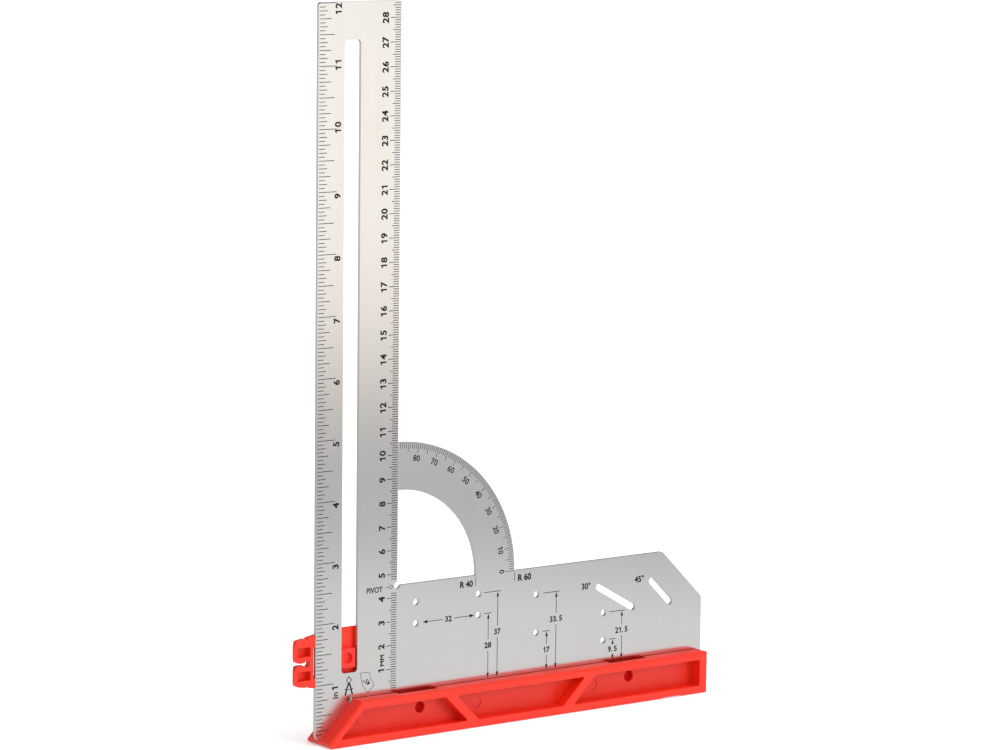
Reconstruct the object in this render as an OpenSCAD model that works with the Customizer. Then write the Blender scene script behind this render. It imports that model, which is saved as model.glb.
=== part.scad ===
// Carpenter square with a marking slider.
// A flat steel blade with a tall ruler, a short arm and a quarter ring stands in a moulded
// stock that has a 45 degree mitre end. A small moulded slider runs up the ruler's slot and
// carries a pencil notch beside the ruler's edge.
// X runs along the stock, Z up the ruler and Y through the thickness. The origin lies on the
// stock's base, in the blade's middle plane, under the ruler's inner edge.

/* [Blade] */
// Thickness of the steel sheet
blade_t = 1.5; // [1:0.1:3]
// Width of the ruler
ruler_w = 40.3; // [34:0.1:60]
// Height of the ruler above the stock's top face
ruler_h = 287; // [200:1:400]
// Radius of the ruler's top corners
ruler_corner_r = 1.5; // [0.5:0.1:4]
// Height of the arm above the stock's top face
arm_h = 45.1; // [40:0.1:70]
// Reach of the arm from the ruler's inner edge
arm_len = 161.2; // [152:0.1:180]
// Size of the arm's 45 degree corner cut
arm_cut = 21.9; // [8:0.1:24]
// Radius of the arm's outer corners
arm_corner_r = 2.5; // [0.5:0.1:4]
// Outer radius of the quarter ring
ring_outer_r = 60; // [50:1:100]
// Inner radius of the quarter ring
ring_inner_r = 40; // [30:1:46]
// Diameter of the pivot notch in the inner corner
pivot_d = 3; // [2:0.1:5]
// Depth to which the blade's foot reaches into the stock
foot_depth = 15.7; // [12:0.1:16.5]
// Radius of the foot's lower corners
foot_corner_r = 2.5; // [0.5:0.1:4]

/* [Ruler slot] */
// Width of the slot
slot_w = 7.85; // [6:0.05:12]
// Distance from the slot to the ruler's outer edge
slot_edge = 12.7; // [8:0.1:20]
// Height of the slot's lower end above the stock's top face
slot_low = 10.95; // [6:0.05:12]
// Width of the steel left above the slot
slot_top_web = 15.5; // [6:0.1:40]
// Radius of the slot's corners
slot_corner_r = 1.6; // [0.5:0.1:2.8]

/* [Marking holes and slots] */
// Diameter of the marking holes
mark_d = 2.8; // [2:0.1:4]
// Distance from the ruler's inner edge to the first column of holes
mark_x = 9.6; // [6:0.1:14]
// Spacing of the first two columns of holes
mark_pitch = 32; // [20:1:40]
// Height of the upper row above the stock's top face
mark_z_upper = 37; // [33:0.1:39]
// Height of the lower row above the stock's top face
mark_z_lower = 28; // [20:0.1:31]
// Distance from the ruler's inner edge to the third column of holes
mark_third_x = 71.8; // [60:0.1:84]
// Heights of the third column's holes above the stock's top face
mark_third_z = [17, 33.5];
// Distance from the ruler's inner edge to the fourth column of holes
mark_fourth_x = 107.7; // [98:0.1:108]
// Heights of the fourth column's holes above the stock's top face
mark_fourth_z = [9.5, 21.5];
// Width of the two angle slots
angle_slot_w = 3; // [2:0.1:4]
// Height of the angle slots' middle above the stock's top face
angle_slot_z = 27.75; // [24:0.05:31]
// Distance from the ruler's inner edge to the middle of the 30 degree slot
slot_30_x = 114.1; // [105:0.1:116]
// Length of the 30 degree slot
slot_30_len = 24.2; // [12:0.1:26]
// Distance from the ruler's inner edge to the middle of the 45 degree slot
slot_45_x = 138.6; // [134:0.1:140]
// Length of the 45 degree slot
slot_45_len = 17.2; // [8:0.1:18]
// Diameter of the compass hole at the stock's mitre
compass_d = 3; // [2:0.1:4]
// Distance from the mitre's upper edge to the middle of the compass hole
compass_out = 1.6; // [1.5:0.1:4]

/* [Stock] */
// Height of the stock
stock_h = 18.2; // [17:0.1:30]
// Thickness of the stock
stock_t = 17.5; // [14:0.1:30]
// Reach of the stock from the ruler's inner edge
stock_len = 159.4; // [150:0.1:160.5]
// Radius of the upper long edges
top_edge_r = 1.7; // [0.5:0.1:2.5]
// Radius of the lower long edges
base_edge_r = 1; // [0.5:0.1:2.5]
// How far the flat base cuts its rounded edges short
base_trim = 0.06; // [0.02:0.02:0.3]
// Radius of the base's corners
base_corner_r = 1.6; // [0.5:0.1:2.5]
// Radius of the upright edges at the mitre and at the right end
end_edge_r = 1.5; // [0.5:0.1:2.5]
// Width of the groove on either side of the blade, at the mouth of its slot
mouth_w = 0.5; // [0.1:0.05:1]
// Depth of that groove
mouth_depth = 1.5; // [0.3:0.1:2.2]
// Wall between the blade and the floor of each recess
floor_wall = 1.8; // [1.2:0.1:3.5]
// Rim above the recesses
rim_top = 3.2; // [2.8:0.1:5]
// Rim below the recesses
rim_base = 3.5; // [2.5:0.1:6]
// Rim at the stock's right end
rim_end = 4.6; // [3:0.1:8]
// Rim along the mitre, measured level
rim_mitre = 3.8; // [3:0.1:8]
// Width of the slanted ribs
rib_w = 3.85; // [2:0.05:8]
// Distance from the ruler's inner edge to the middle of the first rib
rib_first_x = 28.2; // [24:0.1:44]
// Distance from the ruler's inner edge to the middle of the second rib
rib_second_x = 89.4; // [76:0.1:92]
// Radius of the recesses' corners
recess_corner_r = 0.5; // [0.3:0.1:1.5]
// Distances from the ruler's inner edge to the middles of the pockets beside the blade
pocket_x = [8.9, 119.1];
// Length of the pockets beside the blade
pocket_len = 20; // [10:0.5:26]
// Width of the pockets beside the blade
pocket_w = 3.4; // [2:0.1:4.5]
// Depth of the pockets beside the blade
pocket_depth = 2.2; // [1.6:0.1:2.4]
// Distance from the ruler's inner edge to the middle of the base notch
notch_x = 139.4; // [120:0.1:146]
// Length of the base notch
notch_len = 13; // [7:0.1:16]
// Depth of the base notch
notch_depth = 0.7; // [0.3:0.1:2]
// Run of the notch's slanted sides
notch_run = 2.7; // [0.5:0.1:3.4]
// Diameter of the round marks that the mould's ejectors leave
ejector_d = 4.8; // [3:0.1:6]
// Depth of the ejector marks
ejector_depth = 0.3; // [0.1:0.05:0.4]
// Distances from a slanted side to the ejector marks on its right and on its left
ejector_side = [8.6, 4.2];

/* [Stock pins] */
// Diameter of the pins' holes
pin_d = 4.8; // [3:0.1:6]
// Distance from the ruler's inner edge to the left pin
pin_left_x = 10.6; // [6:0.1:13]
// Distance between the pins
pin_pitch = 109.8; // [100:0.1:113]
// Distance from the stock's top face down to the pins
pin_drop = 7.4; // [6.6:0.1:10]
// Height of the pins' front ends above the blade's front face
pin_proud = 0.1; // [0:0.1:1]

/* [Slider] */
// Height of the slider's middle above the stock's top face
slider_z = 17; // [16.8:0.05:250]
// Reach of the pencil lobes beyond the ruler's outer edge
lobe_reach = 10.5; // [9:0.1:16]
// Half height of the slider at the lobes
lobe_half_h = 9; // [8.8:0.05:14]
// Rise of the lobes' upper and lower edges for each millimetre towards the ruler
flare = 0.15; // [0:0.005:0.2]
// Half height of the slider's plate behind the slot
plate_half_h = 11.8; // [11:0.1:16]
// How much farther the upper edge stands from the middle, at the lobes, the ruler and the plate
upper_extra = [0.4, 0.7, 1];
// Radius of the lobes' outer corners
lobe_corner_r = 3; // [0.5:0.1:3.4]
// Thickness of the lobes at their outer edge
lobe_edge_t = 1.2; // [0.8:0.1:2]
// Depth of the whole slider from the blade's front face to its back
slider_depth = 5.4; // [5:0.1:10]
// Depth at which the slider's rear steps in
rear_step = 3.2; // [2.8:0.1:4.4]
// Height of that step, above and below
rear_inset = 1.3; // [0.5:0.1:2]
// Distance by which the lobes' outer edge lies farther in behind that step
rear_taper = 1.8; // [0.5:0.1:2.4]
// Reach of the slider's plate past the slot's inner side
plate_past_slot = 6; // [3:0.1:12]
// Relief between the blade's back and the plate across the slot
plate_relief = 1.2; // [0.6:0.1:2]
// Width of the pencil notch
pencil_slot_w = 1.2; // [0.8:0.1:2]
// Radius of the corners at the notch's mouth
pencil_mouth_r = 2.7; // [0.5:0.1:3]
// Diameter of the hole at the notch's end
pencil_d = 2.8; // [2:0.1:4]
// Distance from the pencil hole to the ruler's outer edge
pencil_x = 4.2; // [3.4:0.1:6]
// Thickness of the web round the pencil hole
pencil_web_t = 3; // [1.2:0.1:5]
// Height of the hollow behind the web
pencil_hollow_h = 4.4; // [3:0.1:4.6]
// Width and height of the lobes' pockets
lobe_pocket = [6.8, 3.9];
// Height of the pockets' middle from the slider's middle
lobe_pocket_z = 5; // [4.6:0.1:7]
// Distance from the lobes' outer edge to the pockets
lobe_pocket_rim = 1.3; // [1:0.1:3]
// Depth of the pockets' shallow outer step and of their inner part
lobe_pocket_depth = [1.2, 3.2];
// Width of the pockets' shallow outer step
lobe_pocket_step = 1.6; // [0.8:0.1:3]
// Width and depth of the index notches
index_notch = [1.8, 0.6];
// Height of the relief window between the pads
window_h = 12.8; // [6:0.1:14]
// Gap between the lobes and the ruler's edge in the window
window_gap = 1.1; // [0.8:0.05:2.5]
// Reach of the window behind the blade
window_in = 4.3; // [1:0.1:5]
// Height of the key in the slot
key_h = 8.3; // [6:0.1:14]
// Gap between the key and the slot's inner side
key_gap = 0.5; // [0.1:0.05:1.5]
// Distance from the blade's front face back to the key's face
key_drop = 0.7; // [0.2:0.1:1.2]
// Diameter of the dimple in the key
dimple_d = 4.5; // [2:0.1:5]
// Depth of the dimple in the key
dimple_depth = 1.5; // [0.2:0.1:1.8]

/* [Slider magnets] */
// Diameter of the magnets
magnet_d = 5; // [3:0.1:5.5]
// Thickness of the magnets
magnet_t = 2; // [1:0.1:3]
// Height of each magnet from the slider's middle
magnet_z = 6.4; // [4:0.1:7]
// Distance from the magnets' middle to the slot's outer side
magnet_in = 3.6; // [3.2:0.1:4]

/* [Fits] */
// Gap between the blade's foot and the stock
foot_fit = 0.05; // [0.02:0.01:0.2]
// Gap between the pins or magnets and their holes
press_fit = 0.02; // [0.01:0.01:0.05]
// Gap between the slider and the blade
slide_fit = 0.08; // [0.05:0.01:0.3]

/* [Hidden] */
$fn = 64;

steel = [0.80, 0.80, 0.79];
red = [0.91, 0.17, 0.13];
nickel = [0.72, 0.72, 0.74];
through = 2;                                // how far a cut runs past the faces it opens
half_turn = 180;

blade_face = blade_t / 2;
stock_face = stock_t / 2;
mitre_x = -ruler_w + stock_h;               // upper edge of the mitre
foot_z = stock_h - foot_depth;
slot_in = -ruler_w + slot_edge + slot_w;    // slot's side nearest the arm
slot_out = -ruler_w + slot_edge;            // slot's side nearest the ruler's edge
recess_floor = blade_face + floor_wall;
recess_z = [rim_base, stock_h - rim_top];
recess_mid = (recess_z[0] + recess_z[1]) / 2;
pins = [pin_left_x, pin_left_x + pin_pitch];
pin_z = stock_h - pin_drop;
slider_mid = stock_h + slider_z;
lobe_x = -ruler_w - lobe_reach;
plate_end = slot_in + plate_past_slot;
slider_front = -blade_face;
slider_back = slider_front + slider_depth;
seat_y = blade_face + slide_fit;            // slider's face against the blade's back
window_side = -ruler_w + window_in;
magnet_x = slot_out - magnet_in;

// Points along an arc of radius r that rounds the corner b between a and c
function unit(v) = v / norm(v);
function angle_of(v) = atan2(v[1], v[0]);
function short_turn(t) = t > half_turn ? t - 2 * half_turn : t < -half_turn ? t + 2 * half_turn : t;
function corner(a, b, c, r, steps = 6) =
    let (
        u = unit(a - b),
        v = unit(c - b),
        half = acos(u * v) / 2,
        middle = b + unit(u + v) * r / sin(half),
        start = angle_of(b + u * r / tan(half) - middle),
        turn = short_turn(angle_of(b + v * r / tan(half) - middle) - start)
    )
    r == 0 ? [b] :
    [for (i = [0:steps]) middle + r * [cos(start + turn * i / steps), sin(start + turn * i / steps)]];

// Outline through pts with each corner rounded by its own radius
function rounded(pts, radii) =
    let (n = len(pts))
    [for (i = [0:n - 1]) each corner(pts[(i + n - 1) % n], pts[i], pts[(i + 1) % n], radii[i])];

// Upright outline in X and Z, given a thickness from y0 to y1
module slab(y0, y1) {
    translate([0, y1, 0]) rotate([90, 0, 0]) linear_extrude(y1 - y0) children();
}

// Round bar along Y
module bar_y(x, z, d, y0, y1) {
    translate([x, y1, z]) rotate([90, 0, 0]) cylinder(h = y1 - y0, d = d);
}

// Rectangle with round lower and upper corners, from its lower left corner
module round_rect(w, h, low_r, high_r) {
    translate([low_r, 0]) square([w - 2 * low_r, h / 2]);
    translate([high_r, h / 2]) square([w - 2 * high_r, h / 2]);
    translate([0, low_r]) square([w, h - low_r - high_r]);
    for (side = [0, 1]) translate([side * w, 0]) mirror([side, 0]) {
        translate([low_r, low_r]) circle(low_r);
        translate([high_r, h - high_r]) circle(high_r);
    }
}

// Level slot with round ends, about its middle
module long_hole(length, w) {
    square([length - w, w], center = true);
    for (side = [-1, 1]) translate([side * (length - w) / 2, 0]) circle(d = w);
}

// Ruler, arm and foot in one outline
module blade_outline() {
    top = stock_h + ruler_h;
    arm_top = stock_h + arm_h;
    polygon(rounded(
        [
            [-ruler_w, foot_z], [arm_len, foot_z],
            [arm_len, arm_top - arm_cut], [arm_len - arm_cut, arm_top],
            [0, arm_top], [0, top], [-ruler_w, top]
        ],
        [foot_corner_r, foot_corner_r, arm_corner_r, arm_corner_r, 0, ruler_corner_r, ruler_corner_r]
    ));
}

// Quarter ring about the inner corner
module quarter_ring() {
    translate([0, stock_h + arm_h]) intersection() {
        difference() {
            circle(ring_outer_r, $fn = 160);
            circle(ring_inner_r, $fn = 120);
        }
        square(ring_outer_r + through);
    }
}

// Round holes through the blade
module marking_holes() {
    for (x = [mark_x, mark_x + mark_pitch], z = [mark_z_lower, mark_z_upper])
        translate([x, stock_h + z]) circle(d = mark_d);
    for (z = mark_third_z) translate([mark_third_x, stock_h + z]) circle(d = mark_d);
    for (z = mark_fourth_z) translate([mark_fourth_x, stock_h + z]) circle(d = mark_d);
    translate([mitre_x - compass_out, stock_h]) circle(d = compass_d);
    translate([0, stock_h + arm_h]) circle(d = pivot_d);
}

// Slots that guide a pencil at 30 and 45 degrees
module angle_slots() {
    translate([slot_30_x, stock_h + angle_slot_z]) rotate(-30) long_hole(slot_30_len, angle_slot_w);
    translate([slot_45_x, stock_h + angle_slot_z]) rotate(-45) long_hole(slot_45_len, angle_slot_w);
}

module blade() {
    color(steel) slab(-blade_face, blade_face) difference() {
        union() {
            blade_outline();
            quarter_ring();
        }
        translate([slot_out, stock_h + slot_low])
            round_rect(slot_w, ruler_h - slot_low - slot_top_web, slot_corner_r, slot_corner_r);
        marking_holes();
        angle_slots();
        for (x = pins) translate([x, pin_z]) circle(d = pin_d);
    }
}

// Side view of the stock with its mitre
module stock_outline() {
    left = -ruler_w - base_trim;
    intersection() {
        polygon(rounded(
            [[left, -base_trim], [stock_len, -base_trim], [stock_len, stock_h], [mitre_x, stock_h]],
            [base_corner_r, base_corner_r, base_corner_r / 2, 0.3]
        ));
        translate([left, 0]) square([stock_len - left, stock_h]);
    }
}

// Prism up along the Z axis and reaching far to the right, with its two left edges rounded
module end_section() {
    far = 2 * stock_len;
    translate([0, 0, -far]) linear_extrude(2 * far) polygon(rounded(
        [[0, -stock_face], [far, -stock_face], [far, stock_face], [0, stock_face]],
        [end_edge_r, 0, 0, end_edge_r]
    ));
}

// Section across the stock, run along its whole length
module stock_section() {
    translate([-ruler_w - through, 0, 0]) rotate([90, 0, 90])
        linear_extrude(ruler_w + stock_len + 2 * through)
            translate([-stock_face, -base_trim])
                round_rect(stock_t, stock_h + base_trim, base_edge_r, top_edge_r);
}

// Slot for the blade's foot, open at the top and at both ends, and wider at its mouth
module foot_room() {
    left = -ruler_w - through;
    low = foot_z - foot_fit;
    slab(-blade_face - foot_fit, blade_face + foot_fit) translate([left, low])
        square([stock_len + through - left, stock_h + through - low]);
    slab(-blade_face - mouth_w, blade_face + mouth_w) translate([left, stock_h - mouth_depth])
        square([stock_len + through - left, mouth_depth + through]);
}

// Recess between two slanted sides, given level places at mid height and their slopes
module recess(left, left_slope, right, right_slope) {
    low = recess_z[0];
    high = recess_z[1];
    r = recess_corner_r;
    slab(-stock_face - through, -recess_floor) polygon(rounded(
        [
            [left + left_slope * (low - recess_mid), low],
            [right + right_slope * (low - recess_mid), low],
            [right + right_slope * (high - recess_mid), high],
            [left + left_slope * (high - recess_mid), high]
        ],
        [r, r, r, r]
    ));
}

// The three recesses of one face
module face_recesses() {
    half_rib = rib_w / sqrt(2);
    recess(-ruler_w + recess_mid + rim_mitre, 1, rib_first_x - half_rib, -1);
    recess(rib_first_x + half_rib, -1, rib_second_x - half_rib, 1);
    recess(rib_second_x + half_rib, 1, stock_len - rim_end, 0);
}

// Raised round mark that a mould's ejector leaves in the first recess
module raised_mark() {
    x = -ruler_w + recess_mid + rim_mitre + ejector_side[0];
    bar_y(x, recess_mid, ejector_d, -recess_floor - ejector_depth, -recess_floor + 0.5);
}

// Sunk round marks in the floors of one face
module sunk_marks() {
    half_rib = rib_w / sqrt(2);
    places = [
        rib_first_x - half_rib - ejector_side[1],
        rib_first_x + half_rib + ejector_side[0],
        rib_second_x - half_rib - ejector_side[1],
        rib_second_x + half_rib + ejector_side[0]
    ];
    for (x = places)
        bar_y(x, recess_mid, ejector_d, -recess_floor - through, -recess_floor + ejector_depth);
}

// Pockets beside the blade, above the pins, on one side
module blade_pockets() {
    for (x = pocket_x)
        translate([x - pocket_len / 2, -blade_face - pocket_w, stock_h - pocket_depth])
            cube([pocket_len, pocket_w, pocket_depth + through]);
}

// Shallow notch across the base
module base_notch() {
    half = notch_len / 2;
    slab(-stock_face - through, stock_face + through) polygon([
        [notch_x - half, -through], [notch_x + half, -through], [notch_x + half, 0],
        [notch_x + half - notch_run, notch_depth], [notch_x - half + notch_run, notch_depth],
        [notch_x - half, 0]
    ]);
}

module stock() {
    color(red) difference() {
        union() {
            difference() {
                intersection() {
                    slab(-stock_face - through, stock_face + through) stock_outline();
                    stock_section();
                    translate([-ruler_w, 0, 0]) rotate([0, 45, 0]) end_section();
                    translate([stock_len, 0, 0]) mirror([1, 0, 0]) end_section();
                }
                for (side = [0, 1]) mirror([0, side, 0]) face_recesses();
            }
            for (side = [0, 1]) mirror([0, side, 0]) raised_mark();
        }
        foot_room();
        for (side = [0, 1]) mirror([0, side, 0]) {
            sunk_marks();
            blade_pockets();
        }
        for (x = pins) bar_y(x, pin_z, pin_d, -stock_face, stock_face);
        base_notch();
    }
}

// Moulded pin from the rear recess floor through the blade, at place x
module stock_pin(x) {
    color(red) bar_y(x, pin_z, pin_d - 2 * press_fit, -blade_face - pin_proud, recess_floor);
}

module stock_pin_left() {
    stock_pin(pins[0]);
}

module stock_pin_right() {
    stock_pin(pins[1]);
}

// Front view of the slider with its pencil notch, its edges moved in by insets along X and Z
module slider_outline(inset_x, inset_z) {
    left = lobe_x + inset_x;
    lobe_h = lobe_half_h - inset_z;
    edge_h = lobe_h + flare * lobe_reach;
    plate_h = plate_half_h - inset_z;
    notch_end = -ruler_w - pencil_x;
    half_notch = pencil_slot_w / 2;
    r = lobe_corner_r;
    mouth_r = pencil_mouth_r;
    translate([0, slider_mid]) polygon(rounded(
        [
            [left, -lobe_h], [-ruler_w, -edge_h], [slot_out, -plate_h], [plate_end, -plate_h],
            [plate_end, plate_h + upper_extra[2]], [slot_out, plate_h + upper_extra[2]],
            [-ruler_w, edge_h + upper_extra[1]], [left, lobe_h + upper_extra[0]], [left, half_notch],
            [notch_end, half_notch], [notch_end, -half_notch], [left, -half_notch]
        ],
        [r, 0, 0, r, r, 0, 0, r, mouth_r, 0, 0, mouth_r]
    ));
}

// Top view of the slider: lobes beside the blade and a plate behind it
module slider_plan() {
    edge = -ruler_w - slide_fit;
    slope_run = (slider_depth - lobe_edge_t) * 0.84;
    relief_y = blade_face + plate_relief;
    polygon([
        [lobe_x, slider_front], [edge, slider_front], [edge, seat_y],
        [slot_out - 0.6, seat_y], [slot_out - 0.6, relief_y],
        [slot_in + 0.6, relief_y], [slot_in + 0.6, seat_y],
        [plate_end, seat_y], [plate_end, slider_back - 1], [plate_end - 1, slider_back],
        [lobe_x + slope_run, slider_back], [lobe_x, slider_front + lobe_edge_t]
    ]);
}

// Key that stands up from the plate into the slot
module slider_key() {
    left = slot_out + slide_fit;
    wide = slot_w - slide_fit - key_gap;
    difference() {
        slab(slider_front + key_drop, blade_face + plate_relief + 0.5)
            translate([left, slider_mid - key_h / 2]) round_rect(wide, key_h, 0.8, 0.8);
        bar_y(left + wide / 2, slider_mid, dimple_d,
            slider_front - through, slider_front + key_drop + dimple_depth);
    }
}

// Round end of the pencil notch, the hollow behind it and the two index notches in line
module pencil_cuts() {
    x = -ruler_w - pencil_x;
    along = x - lobe_x;
    low_edge = lobe_half_h + flare * along;
    rise = (upper_extra[1] - upper_extra[0]) / lobe_reach;
    edges = [low_edge + upper_extra[0] + rise * along, low_edge];
    half = index_notch[0] / 2;
    slab(slider_front - through, slider_back + through)
        for (side = [0, 1]) translate([x, slider_mid]) mirror([0, side])
            translate([0, edges[side]]) polygon([
                [-2 * half, index_notch[1]], [0, -index_notch[1]], [2 * half, index_notch[1]]
            ]);
    bar_y(x, slider_mid, pencil_d, slider_front - through, slider_back + through);
    slab(slider_front + pencil_web_t, slider_back + through)
        translate([lobe_x - through, slider_mid - pencil_hollow_h / 2])
            square([-ruler_w - window_gap - lobe_x + 2 * through, pencil_hollow_h]);
}

// Stepped pocket in each lobe
module lobe_pockets() {
    left = lobe_x + lobe_pocket_rim;
    for (side = [-1, 1]) {
        low = slider_mid + side * lobe_pocket_z - lobe_pocket[1] / 2;
        slab(slider_front - through, slider_front + lobe_pocket_depth[0])
            translate([left, low]) square(lobe_pocket);
        slab(slider_front - through, slider_front + lobe_pocket_depth[1])
            translate([left + lobe_pocket_step, low])
                square([lobe_pocket[0] - lobe_pocket_step, lobe_pocket[1]]);
    }
}

// Window that frees the two pads beside the ruler's edge
module relief_window() {
    left = -ruler_w - window_gap;
    slab(slider_front - through, slider_back + through)
        translate([left, slider_mid - window_h / 2]) square([window_side - left, window_h]);
}

module slider_body() {
    color(red) union() {
        difference() {
            intersection() {
                union() {
                    slab(slider_front, slider_front + rear_step) slider_outline(0, 0);
                    slab(slider_front + rear_step, slider_back) slider_outline(rear_taper, rear_inset);
                }
                translate([0, 0, slider_mid - 2 * lobe_half_h])
                    linear_extrude(4 * lobe_half_h) slider_plan();
            }
            pencil_cuts();
            lobe_pockets();
            relief_window();
            for (side = [-1, 1])
                bar_y(magnet_x, slider_mid + side * magnet_z, magnet_d, seat_y - through, seat_y + magnet_t);
        }
        slider_key();
    }
}

// Disc magnet let into the slider's face behind the blade
module slider_magnet(side) {
    color(nickel) bar_y(magnet_x, slider_mid + side * magnet_z, magnet_d - 2 * press_fit,
        seat_y, seat_y + magnet_t - press_fit);
}

module slider_magnet_upper() {
    slider_magnet(1);
}

module slider_magnet_lower() {
    slider_magnet(-1);
}

blade();
stock();
stock_pin_left();
stock_pin_right();
slider_body();
slider_magnet_upper();
slider_magnet_lower();
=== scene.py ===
"""Dresses the carpenter square: steel blade, red stock and slider, black marks.

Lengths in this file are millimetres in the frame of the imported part, unless a
line says metres. They become metres where a mesh, a lamp or the camera is made.
"""

import logging
import math
from dataclasses import dataclass, field, replace
from enum import Enum
from functools import cache

import bmesh
import bpy
import numpy as np
from mathutils import Matrix, Vector


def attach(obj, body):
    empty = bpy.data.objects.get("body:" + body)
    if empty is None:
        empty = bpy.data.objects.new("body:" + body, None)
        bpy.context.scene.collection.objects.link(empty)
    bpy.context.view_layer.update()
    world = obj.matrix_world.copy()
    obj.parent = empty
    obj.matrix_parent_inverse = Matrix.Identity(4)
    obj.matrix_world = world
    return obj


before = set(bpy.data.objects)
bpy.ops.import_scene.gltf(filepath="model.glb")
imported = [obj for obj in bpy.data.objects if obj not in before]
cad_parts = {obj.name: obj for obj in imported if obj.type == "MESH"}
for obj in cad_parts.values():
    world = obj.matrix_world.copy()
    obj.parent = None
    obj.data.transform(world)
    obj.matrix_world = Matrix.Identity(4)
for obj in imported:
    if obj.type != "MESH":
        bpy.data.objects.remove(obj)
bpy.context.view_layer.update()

LOG = logging.getLogger("square")
MM = 0.001
IN = 25.4
CAP_SHARE = 0.729  # height of a capital in Blender's font, as a share of its size
MERGE = 1e-7  # metres within which two points of a mark are one

Colour = tuple[float, float, float]
Pair = tuple[float, float]
Socket = bpy.types.NodeSocket
Value = float | Socket
Tint = Colour | Socket

WHITE: Colour = (1.0, 1.0, 1.0)
FULL: Pair = (0.0, 1.0)
NOISE_CORE: Pair = (0.35, 0.65)  # span that holds most values of a noise
NOISE_WIDE: Pair = (0.3, 0.7)


class Reading(Enum):
    """Turn of a word in the blade's plane, in degrees anticlockwise."""

    LEVEL = 0.0
    UPWARDS = 90.0
    ALONG_TAG = 140.0


# ---- Shader building -------------------------------------------------------


class Shader:
    """Small helper that adds nodes to a tree and wires them."""

    def __init__(self, tree: bpy.types.NodeTree) -> None:
        """Keeps the tree of a material, a world or a group."""
        self.tree = tree

    def wire(self, source: Socket, target: Socket) -> None:
        """Links an output to an input."""
        self.tree.links.new(source, target)

    def add(self, kind: str, settings: dict[str, object] | None = None,
            **values: object) -> bpy.types.Node:
        """Adds a node, sets its properties and fills or links its inputs.

        Args:
            kind: Node type, such as ShaderNodeMath.
            settings: Properties of the node.
            values: Inputs by name, with _ for a blank, or by index as i0, i1.
                A socket is linked and anything else is set.

        Returns:
            The node.
        """
        node = self.tree.nodes.new(kind)
        for name, value in (settings or {}).items():
            setattr(node, name, value)
        for name, value in values.items():
            by_index = name[0] == "i" and name[1:].isdigit()
            target = node.inputs[int(name[1:]) if by_index else name.replace("_", " ")]
            if isinstance(value, Socket):
                self.wire(value, target)
            else:
                target.default_value = value
        return node

    def group(self, tree: bpy.types.NodeTree, **values: object) -> bpy.types.Node:
        """Places a node group and fills or links its inputs by name."""
        return self.add("ShaderNodeGroup", {"node_tree": tree}, **values)

    def math(self, operation: str, first: Value, second: Value = 0.0) -> Socket:
        """Works out one or two values by Blender's name of an operation."""
        return self.add("ShaderNodeMath", {"operation": operation}, i0=first, i1=second).outputs[0]

    def mix(self, share: Value, first: Tint, second: Tint, blend: str = "MIX") -> Socket:
        """Mixes two colours.

        Args:
            share: Share of the second colour.
            first: First colour.
            second: Second colour.
            blend: Blender's name of the way they mix.

        Returns:
            The mixed colour.
        """
        first, second = (
            tint if isinstance(tint, Socket) else (*tint, 1.0) for tint in (first, second))
        settings = {"data_type": "RGBA", "blend_type": blend}
        return self.add("ShaderNodeMix", settings, i0=share, i6=first, i7=second).outputs[2]

    def weigh(self, share: Value, first: Value, second: Value) -> Socket:
        """Mixes two numbers by the share of the second."""
        settings = {"data_type": "FLOAT"}
        return self.add("ShaderNodeMix", settings, i0=share, i2=first, i3=second).outputs[0]

    def between(self, value: Value, span: Pair, to: Pair) -> Socket:
        """Carries a value from one span to another and holds it there."""
        return self.add("ShaderNodeMapRange", {"clamp": True}, Value=value, From_Min=span[0],
                        From_Max=span[1], To_Min=to[0], To_Max=to[1]).outputs[0]

    def noise(self, place: Socket, scale: Value, detail: float, roughness: float) -> Socket:
        """Gives a noise's value, which lies around 0.5."""
        return self.add("ShaderNodeTexNoise", Vector=place, Scale=scale, Detail=detail,
                        Roughness=roughness).outputs[0]

    def part(self, vector: Socket, axis: str) -> Socket:
        """Gives the X, Y or Z part of a vector."""
        return self.add("ShaderNodeSeparateXYZ", Vector=vector).outputs[axis]

    def place(self) -> Socket:
        """Gives the Object coordinates, in metres."""
        return self.add("ShaderNodeTexCoord").outputs["Object"]

    def turned(self, axis: str) -> Socket:
        """Gives how squarely the surface faces along an axis, from 0 to 1."""
        normal = self.add("ShaderNodeNewGeometry").outputs["True Normal"]
        return self.math("ABSOLUTE", self.part(normal, axis))

    def ray(self, kind: str) -> Socket:
        """Gives 1 to the rays of a kind, such as Is Camera Ray, and 0 to the others."""
        return self.add("ShaderNodeLightPath").outputs[kind]


def new_group(name: str, numbers: dict[str, float],
              results: tuple[str, ...]) -> tuple[Shader, bpy.types.Node, bpy.types.Node]:
    """Makes an empty node group that takes a Place and numbers and gives numbers.

    Args:
        name: Group's name.
        numbers: Number inputs with their default values.
        results: Names of the number outputs.

    Returns:
        The group's helper, its input node and its output node.
    """
    tree = bpy.data.node_groups.new(name, "ShaderNodeTree")
    sockets = tree.interface
    sockets.new_socket("Place", in_out="INPUT", socket_type="NodeSocketVector")
    for number, value in numbers.items():
        made = sockets.new_socket(number, in_out="INPUT", socket_type="NodeSocketFloat")
        made.default_value = value
    for result in results:
        sockets.new_socket(result, in_out="OUTPUT", socket_type="NodeSocketFloat")
    shader = Shader(tree)
    return shader, shader.add("NodeGroupInput"), shader.add("NodeGroupOutput")


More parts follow.
